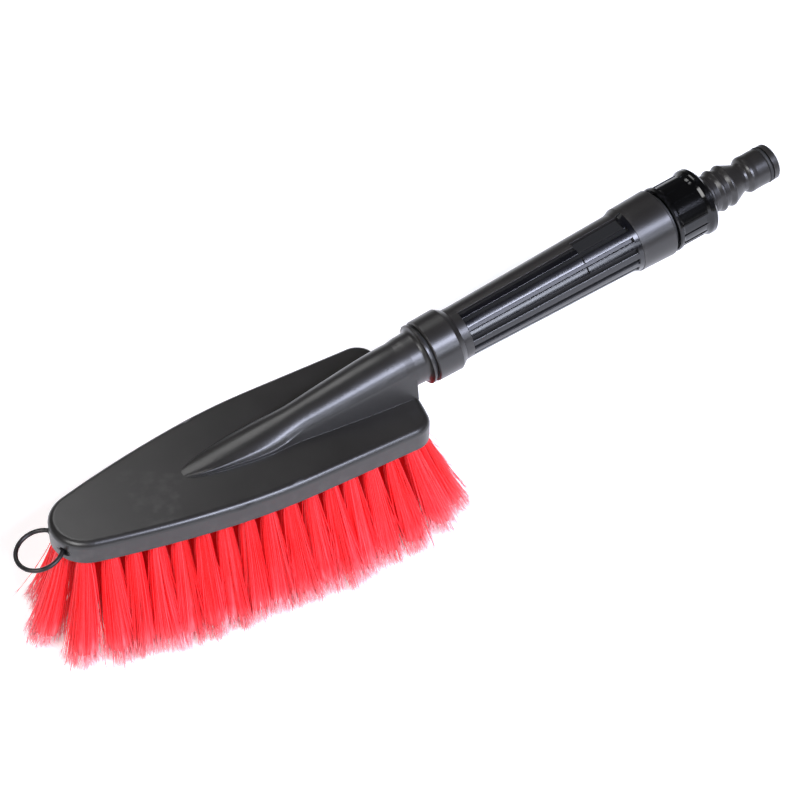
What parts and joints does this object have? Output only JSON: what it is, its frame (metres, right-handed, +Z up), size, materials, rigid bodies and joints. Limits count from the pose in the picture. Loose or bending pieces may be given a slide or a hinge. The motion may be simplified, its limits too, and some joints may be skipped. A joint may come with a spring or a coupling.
{
  "type": "hose-fed washing brush",
  "caption": "Iron-shaped water-fed washing brush with flared red bristle tufts, a fluted handle, a twist shut-off valve, a male hose connector and a swinging hanging ring.",
  "frame": {"origin": "middle of the plane of the trimmed bristle tips, on the head's centre plane", "axes": "+Z up from the bristle tips, +X from the nose towards the hose connector, Y = 0 is the centre plane"},
  "size_m": [0.3563, 0.0778, 0.1058],
  "materials": {
    "cover_plastic": "moulded satin grey-black",
    "plate_plastic": "moulded black",
    "bristle_red": "red plastic filament, flagged tips",
    "gloss_black": "glossy black",
    "black_rubber": "seal rubber",
    "ring_wire": "black coated wire",
    "steel_wire": "flat anchor wire and clip",
    "valve_plastic": "natural acetal"
  },
  "bodies": {
    "brush": {"head_cover": "cover_plastic", "bristle_plate": "plate_plastic", "plate_gasket": "black_rubber", "tuft_anchors": "steel_wire", "tufts_outer_nose": "bristle_red", "tufts_outer_left": "bristle_red", "tufts_outer_right": "bristle_red", "tufts_outer_rear": "bristle_red", "tufts_middle_nose": "bristle_red", "tufts_middle_left": "bristle_red", "tufts_middle_right": "bristle_red", "tufts_middle_rear": "bristle_red", "tufts_centre": "bristle_red", "neck_washer": "black_rubber", "ferrule": "cover_plastic", "handle_tube": "cover_plastic", "grip_shell": "gloss_black", "end_sleeve": "cover_plastic", "valve_housing": "plate_plastic", "valve_seat": "valve_plastic", "seat_seal": "black_rubber"},
    "valve_collar": {"valve_spindle": "valve_plastic", "spindle_seals": "black_rubber", "spindle_clip": "steel_wire", "twist_collar": "gloss_black", "hose_connector": "cover_plastic", "connector_oring": "black_rubber", "thread_washer": "black_rubber"},
    "ring": {"hang_ring": "ring_wire"}
  },
  "joints": [
    {"name": "ring_swing", "type": "hinge", "parent": "brush", "child": "ring", "pos_m": [-0.0778, 0, 0.0538], "axis": [0, 1, 0], "range_deg": [-60, 70]},
    {"name": "valve_twist", "type": "hinge", "parent": "brush", "child": "valve_collar", "pos_m": [0.19459, 0, 0.08696], "axis": [0.989, 0, 0.1478], "range_deg": [0, 90]}
  ]
}
